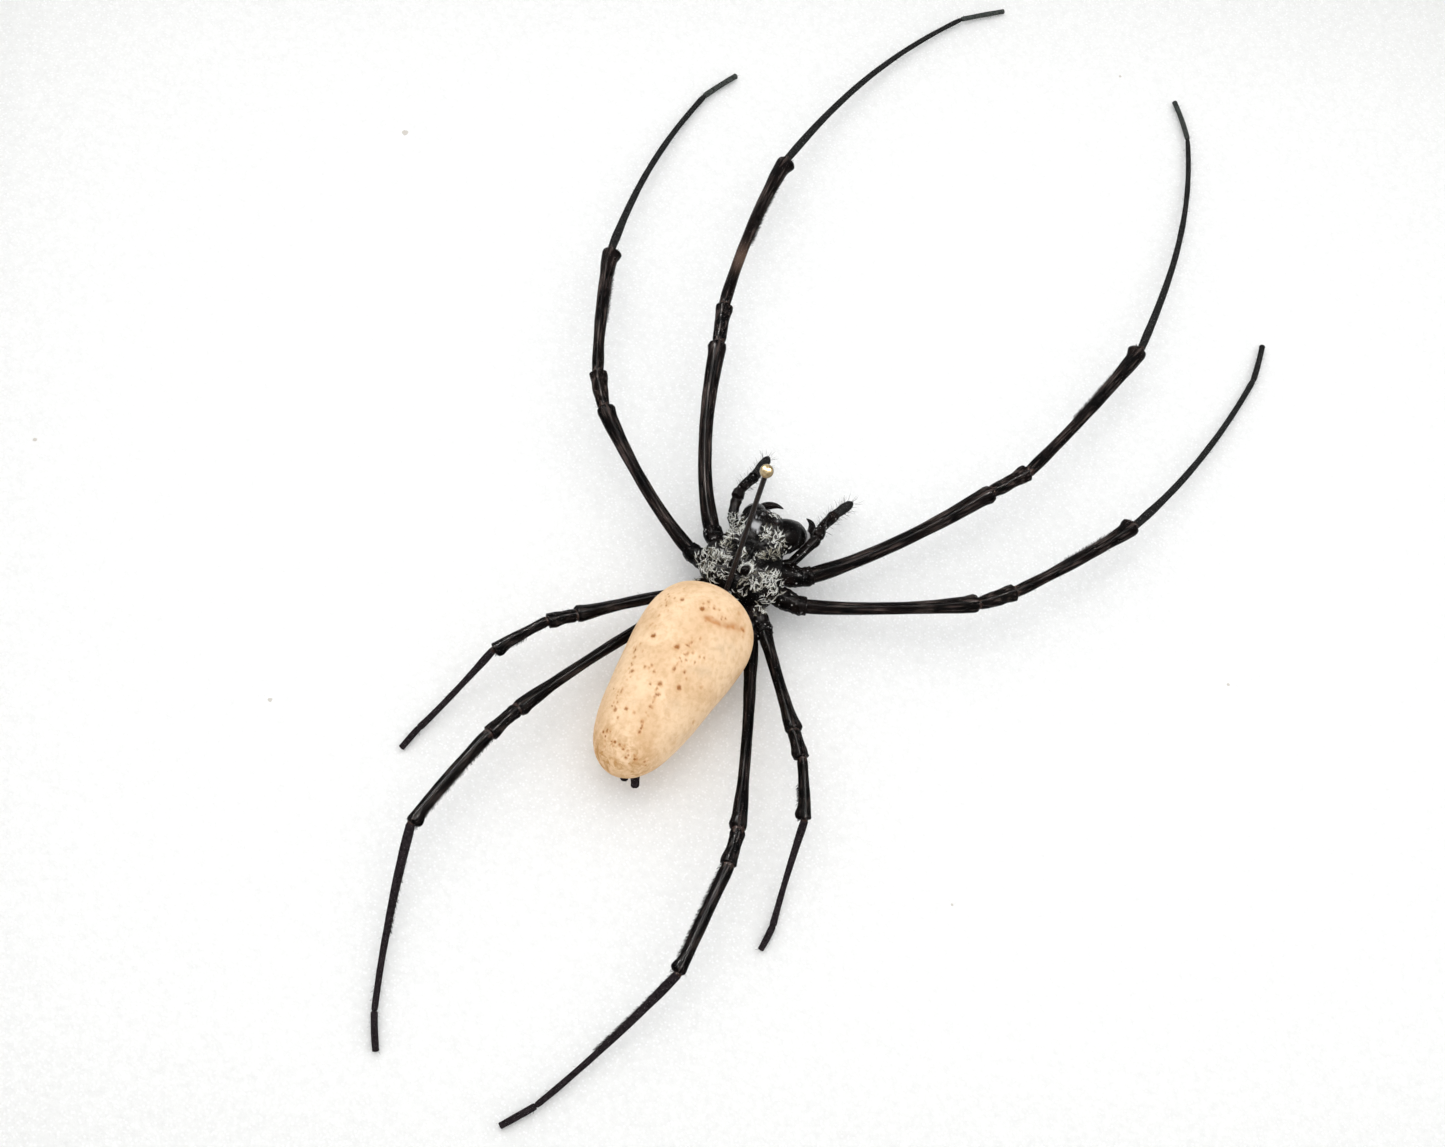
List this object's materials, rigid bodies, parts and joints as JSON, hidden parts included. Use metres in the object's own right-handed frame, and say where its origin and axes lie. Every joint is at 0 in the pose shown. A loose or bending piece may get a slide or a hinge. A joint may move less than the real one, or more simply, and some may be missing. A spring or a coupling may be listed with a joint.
{
  "type": "framed orb-weaver spider",
  "caption": "Dried, pinned orb-weaver spider spread on a white foam board inside a glazed wooden box frame.",
  "frame": {"origin": "middle of the box's bounding box, on its back face", "axes": "+X along the box's long side, +Y along its short side, +Z from the back out through the glass"},
  "size_m": [0.278, 0.227, 0.06],
  "materials": {
    "frame_wood": "dark walnut stain with a satin coat",
    "hardboard": "smooth brown hardboard",
    "tab_steel": "plain spring steel",
    "white_foam": "white fine-grained foam, matt with tiny glints",
    "white_card": "white mount card",
    "pane_glass": "clear flat glass",
    "pin_black": "black enamel",
    "pin_brass": "polished",
    "spider_body": "dried cuticle: glossy black legs and jaws, grey hair mat on the carapace, matt cream abdomen"
  },
  "bodies": {
    "root": {"rail_bottom": "frame_wood", "rail_right": "frame_wood", "rail_top": "frame_wood", "rail_left": "frame_wood", "back_panel": "hardboard", "back_tab_1": "tab_steel", "back_tab_2": "tab_steel", "back_tab_3": "tab_steel", "back_tab_4": "tab_steel", "back_tab_5": "tab_steel", "back_tab_6": "tab_steel", "foam_board": "white_foam", "spacer_bottom": "white_card", "spacer_right": "white_card", "spacer_top": "white_card", "spacer_left": "white_card", "glass_pane": "pane_glass", "pin_shaft": "pin_black", "pin_head": "pin_brass", "spider": "spider_body"}
  },
  "joints": []
}
